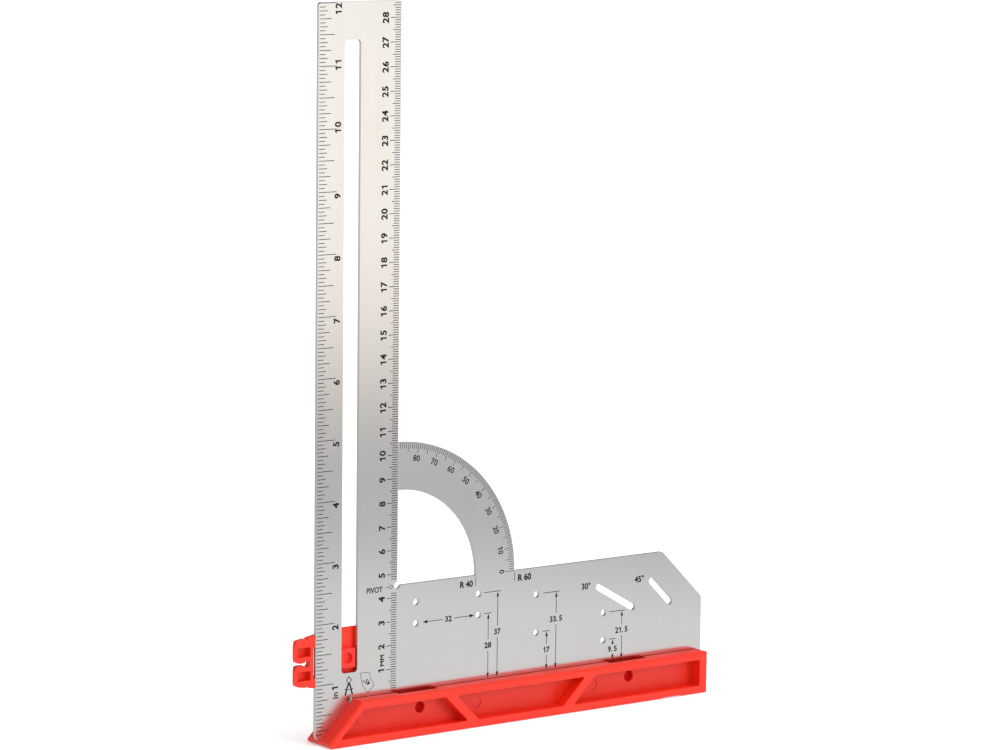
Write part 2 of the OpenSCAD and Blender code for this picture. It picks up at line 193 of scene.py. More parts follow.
@cache
def brushed_grain() -> bpy.types.NodeTree:
    """Makes the grain that brushing leaves: noise drawn out along Z.

    Returns:
        Group with Lines and Runs (cells per metre across and along) that
        puts out a Grain value around 0.5.
    """
    shader, given, result = new_group("brushed_grain", {"Lines": 3000.0, "Runs": 20.0}, ("Grain",))
    lines, runs = given.outputs["Lines"], given.outputs["Runs"]
    stretch = shader.add("ShaderNodeCombineXYZ", X=lines, Y=lines, Z=runs)
    drawn = shader.add("ShaderNodeVectorMath", {"operation": "MULTIPLY"},
                       i0=given.outputs["Place"], i1=stretch.outputs[0])
    shader.wire(shader.noise(drawn.outputs[0], 1.0, 3.0, 0.6), result.inputs["Grain"])
    return shader.tree


@cache
def moulded_skin() -> bpy.types.NodeTree:
    """Makes the skin of a moulded piece: fine pores and wide, faint clouds.

    Returns:
        Group with Pores and Clouds (cells per metre) that puts out Height
        for a bump and Cloud for colour and roughness.
    """
    shader, given, result = new_group("moulded_skin", {"Pores": 1800.0, "Clouds": 60.0},
                                      ("Height", "Cloud"))
    place = given.outputs["Place"]
    pores = shader.noise(place, given.outputs["Pores"], 2.0, 0.5)
    clouds = shader.noise(place, given.outputs["Clouds"], 3.0, 0.55)
    shader.wire(pores, result.inputs["Height"])
    shader.wire(clouds, result.inputs["Cloud"])
    return shader.tree


# ---- Finishes --------------------------------------------------------------


@dataclass(frozen=True)
class Finish:
    """What all the finishes share.

    Attributes:
        name: Material's name.
        colour: Main colour.
        roughness: Roughness of the surface.
        edge: Radius in millimetres at which edges catch the light.
    """

    name: str
    colour: Colour
    roughness: float
    edge: float = 0.0

    def start(self) -> tuple[bpy.types.Material, Shader, bpy.types.Node]:
        """Makes the material with a Principled shader.

        Returns:
            The material, its helper and the shader's node.
        """
        material = bpy.data.materials.new(self.name)
        material.use_nodes = True
        material.diffuse_color = (*self.colour, 1.0)
        surface = material.node_tree.nodes["Principled BSDF"]
        surface.inputs["Base Color"].default_value = (*self.colour, 1.0)
        surface.inputs["Roughness"].default_value = self.roughness
        return material, Shader(material.node_tree), surface

    def dulled(self, shader: Shader, noise: Socket, span: Pair, by: Pair) -> Socket:
        """Gives a roughness that follows a noise, from the first of by to the second."""
        return shader.between(noise, span, (self.roughness + by[0], self.roughness + by[1]))

    def bump(self, shader: Shader, surface: bpy.types.Node, height: Socket, depth: float) -> None:
        """Adds a relief, over edges that are softened a little.

        Args:
            shader: Helper of the material's tree.
            surface: Principled node.
            height: Height of the relief.
            depth: Depth of the relief in millimetres.
        """
        relief = shader.add("ShaderNodeBump", Distance=depth * MM, Strength=1.0, Height=height)
        if self.edge:
            soft = shader.add("ShaderNodeBevel", {"samples": 6}, Radius=self.edge * MM)
            shader.wire(soft.outputs[0], relief.inputs["Normal"])
        shader.wire(relief.outputs[0], surface.inputs["Normal"])


@dataclass(frozen=True)
class BrushedSteel(Finish):
    """Sheet steel brushed along the ruler.

    Attributes:
        warm: Colour of the warm streaks.
        warm_rise: Heights between which the streaks grow stronger.
        warm_share: Their strength below and above those heights.
        streaks: Streaks per metre, across and along.
        lines: Brush lines per metre, across and along.
        shade: Lightness of the darkest and the palest brush line.
        depth: Depth of the brush lines in millimetres.
        cut: Colour of the sheet's cut edges.
        cut_roughness: Least roughness of the cut edges.
        drawn: How much more the sheen spreads across the brush lines than along them.
    """

    warm: Colour = (0.80, 0.70, 0.62)
    warm_rise: Pair = (130.0, 200.0)
    warm_share: Pair = (0.15, 0.5)
    streaks: Pair = (90.0, 5.0)
    lines: Pair = (2600.0, 18.0)
    shade: Pair = (0.975, 1.02)
    depth: float = 0.0015
    cut: Colour = (0.64, 0.64, 0.64)
    cut_roughness: float = 0.45
    drawn: float = 0.85

    def grain(self, shader: Shader, place: Socket, cells: Pair) -> Socket:
        """Gives a brushed grain with so many cells per metre, across and along."""
        group = shader.group(brushed_grain(), Place=place, Lines=cells[0], Runs=cells[1])
        return group.outputs["Grain"]

    def material(self) -> bpy.types.Material:
        """Makes the steel: colour and roughness follow streaks, relief follows lines.

        The warmth is the streaks times wide clouds times a strength that
        rises with height. Faces turned away from Y are the cut edges.

        Returns:
            The material.
        """
        material, shader, surface = self.start()
        place = shader.place()
        broad = self.grain(shader, place, self.streaks)
        fine = self.grain(shader, place, self.lines)
        cloud = shader.group(moulded_skin(), Place=place, Clouds=14.0).outputs["Cloud"]
        low, high = self.warm_rise
        risen = shader.between(shader.part(place, "Z"), (low * MM, high * MM), self.warm_share)
        strength = shader.math("MULTIPLY", risen, shader.between(cloud, (0.4, 0.65), FULL))
        warmth = shader.math("MULTIPLY", shader.between(broad, (0.45, 0.7), FULL), strength)
        tone = shader.mix(warmth, self.colour, self.warm)
        shade = shader.between(fine, NOISE_WIDE, self.shade)
        grey = shader.add("ShaderNodeCombineColor", i0=shade, i1=shade, i2=shade).outputs[0]
        grained = shader.mix(1.0, tone, grey, "MULTIPLY")
        edge = shader.math("LESS_THAN", shader.turned("Y"), 0.5)
        shader.wire(shader.mix(edge, grained, self.cut), surface.inputs["Base Color"])
        dull = self.dulled(shader, fine, NOISE_WIDE, (-0.015, 0.02))
        edge_dull = shader.math("MULTIPLY", edge, self.cut_roughness)
        shader.wire(shader.math("MAXIMUM", dull, edge_dull), surface.inputs["Roughness"])
        across = shader.add("ShaderNodeCombineXYZ", X=1.0, Y=0.0, Z=0.0)
        shader.wire(across.outputs[0], surface.inputs["Tangent"])
        surface.inputs["Anisotropic"].default_value = self.drawn
        surface.inputs["Metallic"].default_value = 1.0
        self.bump(shader, surface, fine, self.depth)
        return material


@dataclass(frozen=True)
class MouldedRed(Finish):
    """Glossy moulded plastic with a faint grain.

    Attributes:
        deep: Colour of the darker clouds.
        depth: Depth of the grain in millimetres.
        sheen: Level of the plain reflection.
        floor: Darker colour painted on recess floors near the blade: painted shade.
        floor_y: Distance from the blade's middle within which a surface is
            such a floor and takes the painted shade, or 0 for a piece without recesses.
        floor_fade: Distance over which the painted shade ends.
        scatter: Share of the light that scatters under the skin.
        scatter_reach: How far it scatters, in millimetres.
    """

    deep: Colour = (0.78, 0.017, 0.003)
    depth: float = 0.006
    sheen: float = 0.63
    floor: Colour = (0.68, 0.019, 0.005)
    floor_y: float = 0.0
    floor_fade: float = 0.5
    scatter: float = 0.08
    scatter_reach: float = 1.2

    def floor_mask(self, shader: Shader, place: Socket) -> Socket:
        """Gives 1 for painted shade on faces along Y no farther out than floor_y, else 0.

        Args:
            shader: Helper of the material's tree.
            place: Object coordinates.

        Returns:
            The mask.
        """
        away = shader.math("ABSOLUTE", shader.part(place, "Y"))
        low = self.floor_y * MM
        facing = shader.math("GREATER_THAN", shader.turned("Y"), 0.7)
        inner = shader.between(away, (low, low + self.floor_fade * MM), (1.0, 0.0))
        return shader.math("MULTIPLY", inner, facing)

    def material(self) -> bpy.types.Material:
        """Makes the plastic: clouds change colour and roughness, pores give relief, and recess
        floors take painted shade.

        Returns:
            The material.
        """
        material, shader, surface = self.start()
        place = shader.place()
        skin = shader.group(moulded_skin(), Place=place, Pores=2200.0, Clouds=55.0)
        cloud = skin.outputs["Cloud"]
        colour = shader.mix(shader.between(cloud, NOISE_CORE, FULL), self.colour, self.deep)
        # Painted shade: recess floors near the blade are mixed towards the darker floor colour.
        if self.floor_y:
            colour = shader.mix(self.floor_mask(shader, place), colour, self.floor)
        shader.wire(colour, surface.inputs["Base Color"])
        shader.wire(self.dulled(shader, cloud, NOISE_CORE, (-0.04, 0.05)),
                    surface.inputs["Roughness"])
        surface.inputs["Specular IOR Level"].default_value = self.sheen
        surface.inputs["Subsurface Weight"].default_value = self.scatter
        surface.inputs["Subsurface Radius"].default_value = (1.0, 0.15, 0.1)
        surface.inputs["Subsurface Scale"].default_value = self.scatter_reach * MM
        self.bump(shader, surface, skin.outputs["Height"], self.depth)
        return material


@dataclass(frozen=True)
class TurnedMetal(Finish):
    """Bare metal of a small turned or plated piece.

    Attributes:
        depth: Depth of the tool marks in millimetres.
    """

    depth: float = 0.003

    def material(self) -> bpy.types.Material:
        """Makes the metal: fine clouds change its roughness, pores give relief.

        Returns:
            The material.
        """
        material, shader, surface = self.start()
        skin = shader.group(moulded_skin(), Place=shader.place(), Pores=3000.0, Clouds=400.0)
        shader.wire(self.dulled(shader, skin.outputs["Cloud"], NOISE_CORE, (-0.06, 0.08)),
                    surface.inputs["Roughness"])
        surface.inputs["Metallic"].default_value = 1.0
        self.bump(shader, surface, skin.outputs["Height"], self.depth)
        return material


@dataclass(frozen=True)
class EtchedBlack(Finish):
    """Dull black of etched marks, a little worn.

    Attributes:
        worn: How much paler the worn spots are.
        sheen: Level of the plain reflection.
    """

    worn: float = 0.02
    sheen: float = 0.12

    def material(self) -> bpy.types.Material:
        """Makes the black: clouds lift it slightly towards grey.

        Returns:
            The material.
        """
        material, shader, surface = self.start()
        skin = shader.group(moulded_skin(), Place=shader.place(), Pores=2500.0, Clouds=350.0)
        grey = tuple(channel + self.worn for channel in self.colour)
        spots = shader.between(skin.outputs["Cloud"], (0.4, 0.7), FULL)
        shader.wire(shader.mix(spots, self.colour, grey), surface.inputs["Base Color"])
        shader.wire(self.dulled(shader, skin.outputs["Height"], NOISE_WIDE, (-0.1, 0.1)),
                    surface.inputs["Roughness"])
        surface.inputs["Specular IOR Level"].default_value = self.sheen
        return material


# ---- Flat marks ------------------------------------------------------------


@dataclass(frozen=True)
class Lettering:
    """Way of setting words and numbers.

    Attributes:
        cap: Height of a capital or a digit.
        weight: Extra width of the strokes as a share of the letters' size.
        narrow: Width of the letters as a share of their own.
        pitch: Width of a digit's cell as a share of its height.
        point: Width of a full point's cell as a share of a digit's.
    """

    cap: float
    weight: float
    narrow: float
    pitch: float = 0.69
    point: float = 0.8

    def stem(self) -> float:
        """Gives the width of a stroke that is drawn here."""
        return self.cap * (0.15 + 2 * self.weight)

    def cell(self, sign: str) -> float:
        """Gives the width of a sign's cell."""
        return (self.point if sign == "." else 1.0) * self.pitch * self.cap * self.narrow


def closed(corners: np.ndarray) -> tuple[np.ndarray, np.ndarray]:
    """Gives the starts and ends of the strokes that join corners into a ring."""
    return corners, np.roll(corners, -1, axis=0)


@dataclass
class MarkSheet:
    """Gathers flat marks in the blade's plane and makes one closed mesh of them.

    Attributes:
        name: Name of the piece.
        face_y: Place of the blade's face.
        proud: Height of the marks above the face.
        sunk: Depth of the marks' roots below the face.
        points: Places of the points so far, one array for each drawing call.
        faces: Corner numbers of each face.
        count: Number of points so far.
    """

    name: str
    face_y: float
    proud: float = 0.02
    sunk: float = 0.02
    points: list[np.ndarray] = field(default_factory=list)
    faces: list[list[int]] = field(default_factory=list)
    count: int = 0

    def keep(self, points: np.ndarray, *blocks: np.ndarray) -> None:
        """Keeps points and faces, with the faces' numbers moved on.

        Args:
            points: Places in millimetres, one row each.
            blocks: Corner numbers of those points, one row for each face.
        """
        for block in blocks:
            self.faces.extend((block + self.count).tolist())
        self.points.append(points)
        self.count += len(points)

    def prisms(self, outlines: np.ndarray) -> None:
        """Gives flat outlines a thickness: a front, a back and a wall for each side.

        Args:
            outlines: Corners in X and Z, anticlockwise from the front, as an
                array of shape (outlines, corners, 2).
        """
        many, corners, _ = outlines.shape
        layers = []
        for y in (self.face_y - self.proud, self.face_y + self.sunk):
            flat = np.full((many, corners, 3), y)
            flat[..., 0::2] = outlines
            layers.append(flat)
        points = np.concatenate(layers, axis=1).reshape(-1, 3)
        ring = np.arange(corners)
        after = np.roll(ring, -1)
        first = 2 * corners * np.arange(many)[:, None]
        side = np.stack([ring, ring + corners, after + corners, after], axis=1)
        walls = (side[None] + first[..., None]).reshape(-1, 4)
        self.keep(points, ring + first, ring[::-1] + corners + first, walls)

    def strokes(self, starts: np.ndarray, ends: np.ndarray, width: float) -> None:
        """Draws straight strokes: each end is half the width to either side.

        Args:
            starts: First ends in X and Z, one row each.
            ends: Second ends.
            width: Width of the strokes.
        """
        starts = np.atleast_2d(np.asarray(starts, float))
        ends = np.atleast_2d(np.asarray(ends, float))
        along = (ends - starts) / np.linalg.norm(ends - starts, axis=1, keepdims=True)
        aside = np.stack([-along[:, 1], along[:, 0]], axis=1) * width / 2
        self.prisms(np.stack([starts - aside, ends - aside, ends + aside, starts + aside], axis=1))

    def arrow(self, tip: Pair, turn: float, length: float = 2.2, width: float = 1.3) -> None:
        """Draws an arrowhead: a triangle with its point at the tip.

        Args:
            tip: Place of the point in X and Z.
            turn: Direction in degrees, from +X towards +Z.
            length: Length of the head.
            width: Width of the head.
        """
        angle = math.radians(turn)
        along = np.array([math.cos(angle), math.sin(angle)])
        aside = np.array([-along[1], along[0]]) * width / 2
        end = np.asarray(tip, float)
        back = end - along * length
        self.prisms(np.stack([end, back + aside, back - aside])[None])

    def word(self, text: str, centre: Pair, style: Lettering,
             turn: float = Reading.LEVEL.value) -> None:
        """Sets a word from Blender's own font.

        The letters are scaled so that a capital is as high as asked, centred
        by their own box, turned in the plane and laid on the face.

        Args:
            text: The word.
            centre: Place of its middle in X and Z.
            style: Way of setting it.
            turn: Turn in degrees, anticlockwise from the front.
        """
        curve = bpy.data.curves.new("lettering", "FONT")
        curve.body = text
        curve.size = 1.0
        curve.resolution_u = 3
        curve.extrude = 0.5
        curve.offset = style.weight
        holder = bpy.data.objects.new("lettering", curve)
        mesh = bpy.data.meshes.new_from_object(holder)
        mesh.calc_loop_triangles()
        local = np.empty(3 * len(mesh.vertices))
        mesh.vertices.foreach_get("co", local)
        local = local.reshape(-1, 3)
        triangles = np.empty(3 * len(mesh.loop_triangles), int)
        mesh.loop_triangles.foreach_get("vertices", triangles)
        scale = style.cap / CAP_SHARE
        middle = (local[:, :2].min(axis=0) + local[:, :2].max(axis=0)) / 2
        flat = (local[:, :2] - middle) * scale * np.array([style.narrow, 1.0])
        angle = math.radians(turn)
        spin = np.array([[math.cos(angle), -math.sin(angle)], [math.sin(angle), math.cos(angle)]])
        laid = np.empty_like(local)
        laid[:, 0::2] = flat @ spin.T + np.asarray(centre, float)
        laid[:, 1] = np.where(local[:, 2] > 0, self.face_y - self.proud, self.face_y + self.sunk)
        self.keep(laid, triangles.reshape(-1, 3))
        bpy.data.objects.remove(holder)
        bpy.data.curves.remove(curve)
        bpy.data.meshes.remove(mesh)

    def one(self, middle: np.ndarray, right: np.ndarray, up: np.ndarray, style: Lettering) -> None:
        """Draws a 1: an upright just right of the middle and a flag down to its left.

        Args:
            middle: Middle of the cell.
            right: Direction of the line of writing.
            up: Direction across it.
            style: Way of setting it.
        """
        cap, stem = style.cap, style.stem()
        top = middle + up * cap / 2 + right * 0.06 * cap
        self.strokes(top, top - up * cap, stem)
        flag = top - up * stem / 3
        flag_w, flag_h = 0.3 * cap * style.narrow, 0.2 * cap
        self.strokes(flag, flag - right * flag_w - up * flag_h, stem * 0.9)

    def number(self, text: str, centre: Pair, style: Lettering,
               turn: float = Reading.LEVEL.value) -> None:
        """Sets a number sign by sign, each in a cell of its own.

        The font's 1 is a bare bar, so a 1 is drawn here. So is the full
        point, a square at the left of its cell.

        Args:
            text: Digits and points.
            centre: Place of its middle in X and Z.
            style: Way of setting it.
            turn: Turn in degrees, anticlockwise from the front.
        """
        angle = math.radians(turn)
        right = np.array([math.cos(angle), math.sin(angle)])
        up = np.array([-right[1], right[0]])
        cap, stem = style.cap, style.stem()
        cells = [style.cell(sign) for sign in text]
        at = -sum(cells) / 2
        for sign, cell in zip(text, cells):
            middle = np.asarray(centre, float) + right * (at + cell / 2)
            if sign == "1":
                self.one(middle, right, up, style)
            elif sign == ".":
                dot = middle - up * (cap - stem) / 2 - right * 0.16 * cap
                self.strokes(dot - right * stem / 2, dot + right * stem / 2, stem)
            else:
                self.word(sign, tuple(middle), style, turn)
            at += cell

    def build(self, material: bpy.types.Material) -> None:
        """Makes the piece, with double points merged, and lets it ride with the blade.

        Args:
            material: Material of the marks.
        """
        mesh = bpy.data.meshes.new(self.name)
        mesh.from_pydata((np.concatenate(self.points) * MM).tolist(), [], self.faces)
        work = bmesh.new()
        work.from_mesh(mesh)
        bmesh.ops.remove_doubles(work, verts=work.verts, dist=MERGE)
        work.to_mesh(mesh)
        work.free()
        mesh.materials.append(material)
        piece = bpy.data.objects.new(self.name, mesh)
        bpy.context.scene.collection.objects.link(piece)
        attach(piece, "square")
        LOG.info("%s: %d faces", self.name, len(mesh.polygons))


# ---- Sub-assemblies --------------------------------------------------------


def dress(node: str, material: bpy.types.Material) -> None:
    """Gives a CAD node its material.

    Args:
        node: Name of the node.
        material: The material.
    """
    piece = bpy.data.objects[node]
    piece.data.materials.clear()
    piece.data.materials.append(material)
    LOG.info("%s: %s", node, material.name)


@dataclass
class Blade:
    """Steel blade with its rulers, protractor and hole dimensions.

    Places on it are counted from the ruler's inner edge in X and from the
    stock's top face in Z.

    Attributes:
        steel: Finish of the sheet.
        ink: Finish of the marks.
        face_y: Place of the front face.
        zero: Height of the stock's top face.
        width: Width of the ruler.
        height: Height of the ruler.
        arm_h: Height of the arm, where the quarter ring has its middle.
        ring_r: Outer radius of the quarter ring.
        ring_numbers_r: Radius at which the ring's numbers stand.
        notch_h: Half of the height that the pivot's notch keeps free of ticks.
        tick_w: Width of the rulers' ticks.
        degree_w: Width of the ring's ticks and of the lines beside it.
        line_w: Width of the dimensions' lines.
        sign_w: Width of the small signs' lines.
        cm_type: Lettering of the centimetres.
        inch_type: Lettering of the inches.
        ring_type: Lettering of the degrees on the ring.
        hole_type: Lettering of the dimensions.
    """

    steel: BrushedSteel
    ink: EtchedBlack
    face_y: float = -0.75
    zero: float = 18.2
    width: float = 40.3
    height: float = 287.0
    arm_h: float = 45.1
    ring_r: float = 60.0
    ring_numbers_r: float = 53.4
    notch_h: float = 2.5
    tick_w: float = 0.29
    degree_w: float = 0.22
    line_w: float = 0.28
    sign_w: float = 0.2
    cm_type: Lettering = Lettering(3.0, 0.035, 1.08, 0.74)
    inch_type: Lettering = Lettering(2.95, 0.035, 1.08, 0.82)
    ring_type: Lettering = Lettering(2.6, 0.02, 0.98)
    hole_type: Lettering = Lettering(2.45, 0.03, 1.06)

    def build(self) -> None:
        """Dresses the blade and makes its marks."""
        dress("blade", self.steel.material())
        ink = self.ink.material()
        for sheet in (self.centimetres(), self.inches(), self.protractor(), self.dimensions(),
                      self.signs()):
            sheet.build(ink)

    def sheet(self, name: str) -> MarkSheet:
        """Starts a sheet of marks on the front face."""
        return MarkSheet(name, self.face_y)

    def up(self, height: float | np.ndarray) -> np.ndarray:
        """Gives heights above the stock's top face as heights in the frame."""
        return np.asarray(height, float) + self.zero

    def centimetres(self) -> MarkSheet:
        """Makes the centimetre scale along the ruler's inner edge.

        Tick k stands k millimetres above the stock, and is longer at each
        fifth and tenth.

        Returns:
            The sheet of marks.
        """
        sheet = self.sheet("centimetre_scale")
        margin, numbers_x = 0.35, -7.8
        at = np.arange(0, round(self.height))
        at = at[np.abs(at - self.arm_h) > self.notch_h]
        length = np.select([at % 10 == 0, at % 5 == 0], [5.0, 3.8], 2.8)
        right = np.stack([np.full(len(at), -margin), self.up(at)], axis=1)
        sheet.strokes(right - np.stack([length, 0 * length], axis=1), right, self.tick_w)
        for number in range(1, 29):
            sheet.number(str(number), (numbers_x, self.up(10 * number)), self.cm_type,
                         Reading.UPWARDS.value)
        self.unit(sheet, (-6.45, self.up(12.0)))
        return sheet

    def unit(self, sheet: MarkSheet, foot: Pair) -> None:
        """Draws the letters MM, which read upwards: four straight strokes each.

        Args:
            sheet: Sheet that takes the marks.
            foot: Lower left corner of the first letter, as it is read.
        """
        cap, wide, spacing, stroke_w = 1.9, 1.8, 2.55, 0.5
        base, low = foot
        for start in (low, low + spacing):
            corners = [(base, start), (base - cap, start), (base - 0.45 * cap, start + wide / 2),
                       (base - cap, start + wide), (base, start + wide)]
            sheet.strokes(corners[:-1], corners[1:], stroke_w)

    def inches(self) -> MarkSheet:
        """Makes the inch scale along the outer edge, counted from the stock's base.

        Tick k stands k sixteenths of an inch above the base, and is longer
        at eighths, quarters, halves and whole inches.

        Returns:
            The sheet of marks.
        """
        sheet = self.sheet("inch_scale")
        margin, numbers_x = 0.4, -30.75
        at = np.arange(3, 193)
        length = np.select([at % 16 == 0, at % 8 == 0, at % 4 == 0, at % 2 == 0],
                           [8.6, 7.4, 5.6, 3.9], 2.9)
        left = np.stack([np.full(len(at), -self.width + margin), at * IN / 16], axis=1)
        sheet.strokes(left, left + np.stack([length, 0 * length], axis=1), self.tick_w)
        lifts = {10: 0.5, 11: 0.5, 12: -2.5}
        for number in range(1, 13):
            height = number * IN + lifts.get(number, -1.8)
            sheet.number(str(number), (numbers_x, height), self.inch_type, Reading.UPWARDS.value)
        sheet.word("in", (-30.5, self.up(2.2)), Lettering(2.8, 0.022, 1.08), Reading.UPWARDS.value)
        return sheet

    def protractor(self) -> MarkSheet:
        """Makes the degree scale on the quarter ring.

        Tick k lies on the ray at k degrees above the arm. It starts inside
        the outer radius and runs inwards.

        Returns:
            The sheet of marks.
        """
        sheet = self.sheet("protractor_scale")
        margin, lead = 0.3, 0.15
        middle = np.array([0.0, self.up(self.arm_h)])
        degree = np.arange(0, 90)
        length = np.select([degree % 10 == 0, degree % 5 == 0], [4.2, 4.0], 2.4)
        ray = np.stack([np.cos(np.radians(degree)), np.sin(np.radians(degree))], axis=1)
        outer = self.ring_r - margin
        sheet.strokes(middle + ray * (outer - length)[:, None], middle + ray * outer, self.degree_w)
        for number in range(0, 90, 10):
            angle = math.radians(number + lead)
            centre = middle + self.ring_numbers_r * np.array([math.cos(angle), math.sin(angle)])
            sheet.number(str(number), tuple(centre), self.ring_type, number - 90.0)
        return sheet

    def rise(self, sheet: MarkSheet, text: str, hole: Pair, x: float, written: float,
             gap: float = 2.4) -> None:
        """Draws a height over the stock: level line, upright with two arrows, number.

        Args:
            sheet: Sheet that takes the marks.
            text: The number.
            hole: Place of the level line's left end beside the hole.
            x: Place of the upright line.
            written: Height of the number's middle.
            gap: Half of the space left for the number.
        """
        foot, head_low, head_high, past = 0.35, 1.6, 1.0, 1.7
        left, top = hole
        low, middle, high = self.up(foot), self.up(written), self.up(top)
        sheet.strokes([(left, high), (x, low + head_low), (x, middle + gap)],
                      [(x + past, high), (x, middle - gap), (x, high - head_high)], self.line_w)
        sheet.arrow((x, low), -90.0)
        sheet.arrow((x, high - 0.15), 90.0)
        sheet.number(text, (x - 0.1, middle), self.hole_type)

    def dimensions(self) -> MarkSheet:
        """Makes the numbers and lines that give the holes' places.

        Returns:
            The sheet of marks.
        """
        sheet = self.sheet("hole_dimensions")
        self.rise(sheet, "37", (44.4, 37.2), 51.4, 19.8)
        self.rise(sheet, "28", (44.4, 28.2), 46.6, 14.5)
        self.rise(sheet, "33.5", (75.3, 33.7), 82.2, 21.9)
        self.rise(sheet, "17", (75.3, 17.1), 77.3, 9.0)
        self.rise(sheet, "21.5", (110.7, 21.6), 117.6, 13.1)
        self.rise(sheet, "9.5", (110.7, 9.6), 112.8, 5.2, gap=1.9)
        level, head_h, head_w = self.up(28.1), 2.4, 1.5
        sheet.strokes([(14.5, level), (28.9, level)], [(23.1, level), (37.5, level)], self.line_w)
        sheet.arrow((12.9, level), 180.0, head_h, head_w)
        sheet.arrow((39.3, level), 0.0, head_h, head_w)
        sheet.number("32", (26.0, level), self.hole_type)
        return sheet

    def signs(self) -> MarkSheet:
        """Makes the words and small signs beside the pivot, ring and slots.

        Returns:
            The sheet of marks.
        """
        sheet = self.sheet("signs")
        for text, x, height, style in (
            ("R 40", 35.15, 41.8, Lettering(2.7, 0.035, 0.97)),
            ("R 60", 65.3, 41.8, Lettering(2.75, 0.04, 0.99)),
            ("30°", 98.0, 34.3, Lettering(2.65, 0.03, 0.96)),
            ("45°", 126.8, 34.4, Lettering(2.7, 0.03, 0.99)),
            ("PIVOT", -11.35, 44.25, Lettering(2.35, 0.025, 0.9)),
        ):
            sheet.word(text, (x, self.up(height)), style)
        low, high = self.up(40.5), self.up(44.5)
        sheet.strokes([(39.85, low), (60.1, low)], [(39.85, high), (60.1, high)], self.degree_w)
        self.pivot(sheet, (-6.0, self.up(44.8)))
        self.dividers(sheet, (-23.85, self.up(7.9)))
        self.tag(sheet)
        return sheet

    def pivot(self, sheet: MarkSheet, start: Pair) -> None:
        """Draws the pivot's sign: a short line to a four-sided ring.

        Args:
            sheet: Sheet that takes the marks.
            start: Left end of the line.
        """
        x, z = start
        line, half_h = 1.7, 0.85
        left = x + line
        sheet.strokes([(x, z)], [(left, z)], self.sign_w)
        ring = [(left, z), (left + 1.0, z + half_h), (left + 2.3, z), (left + 1.0, z - half_h)]
        sheet.strokes(*closed(np.array(ring)), self.sign_w)

    def dividers(self, sheet: MarkSheet, ring: Pair) -> None:
        """Draws the dividers' sign: four-sided ring, two legs and the arc between them.

        The arc is a chain of short strokes at even angles.

        Args:
            sheet: Sheet that takes the marks.
            ring: Middle of the ring.
        """
        x, z = ring
        ring_w, leg_w, arc_w, arc_r = 0.34, 0.72, 0.26, 6.2
        knot = np.array([(x, z + 1.5), (x - 1.25, z), (x, z - 1.5), (x + 1.25, z)])
        sheet.strokes(*closed(knot), ring_w)
        for side in (-1, 1):
            hip, knee, foot = (
                (x + side * out, z - down) for out, down in ((0.15, 1.3), (0.8, 2.9), (1.8, 6.3)))
            sheet.strokes([hip, knee], [knee, foot], leg_w)
        sweep = np.radians(np.linspace(-112, -68, 5))
        arc = np.stack([x + arc_r * np.cos(sweep), z + 2.1 + arc_r * np.sin(sweep)], axis=1)
        sheet.strokes(arc[:-1], arc[1:], arc_w)

    def tag(self, sheet: MarkSheet) -> None:
        """Draws the mitre's sign: a six-sided tag with its angle written in it.

        Args:
            sheet: Sheet that takes the marks.
        """
        corners = np.array([(-18.2, 10.1), (-13.7, 10.1), (-13.2, 7.6), (-11.3, 4.4),
                            (-14.5, 1.3), (-17.2, 5.1)])
        corners[:, 1] += self.zero
        sheet.strokes(*closed(corners), self.sign_w)
        sheet.word("45°", (-15.0, self.up(6.1)), Lettering(2.1, 0.02, 0.95),
                   Reading.ALONG_TAG.value)


@dataclass
class Stock:
    """Moulded stock and its two pins.

    Attributes:
        red: Finish of the stock.
        shaded: Finish of the pins: a darker red that is painted shade, for the shade deep in their
            holes.
    """

    red: MouldedRed
    shaded: MouldedRed

    def build(self) -> None:
        """Dresses the stock and its pins."""
        dress("stock", self.red.material())
        pins = self.shaded.material()
        for side in ("left", "right"):
            dress(f"stock_pin_{side}", pins)


@dataclass
class Slider:
    """Moulded slider and its two magnets.

    Attributes:
        red: Finish of the slider.
        plate: Finish of the magnets.
    """

    red: MouldedRed
    plate: TurnedMetal

    def build(self) -> None:
        """Dresses the slider and its magnets."""
        dress("slider_body", self.red.material())
        metal = self.plate.material()
        for side in ("upper", "lower"):
            dress(f"slider_magnet_{side}", metal)


# ---- Studio ----------------------------------------------------------------


@dataclass(frozen=True)
class Softbox:
    """A soft white rectangular lamp that doesn't show in reflections.

    Attributes:
        name: Lamp's name.
        place: Its middle, in millimetres.
        size: Width and height in millimetres.
        power: Power in watts.
        aim: Point that it faces.
    """

    name: str
    place: tuple[float, float, float]
    size: Pair
    power: float
    aim: tuple[float, float, float] = (50.0, 0.0, 80.0)

    def build(self) -> None:
        """Makes the lamp."""
        lamp = bpy.data.lights.new(self.name, "AREA")
        lamp.shape = "RECTANGLE"
        lamp.size, lamp.size_y = (side * MM for side in self.size)
        lamp.energy = self.power
        holder = bpy.data.objects.new(self.name, lamp)
        holder.visible_glossy = False
        bpy.context.scene.collection.objects.link(holder)
        way = Vector(self.aim) - Vector(self.place)
        turn = way.to_track_quat("-Z", "Y").to_matrix().to_4x4()
        holder.matrix_world = Matrix.Translation(Vector(self.place) * MM) @ turn
        LOG.info("lamp %s", self.name)


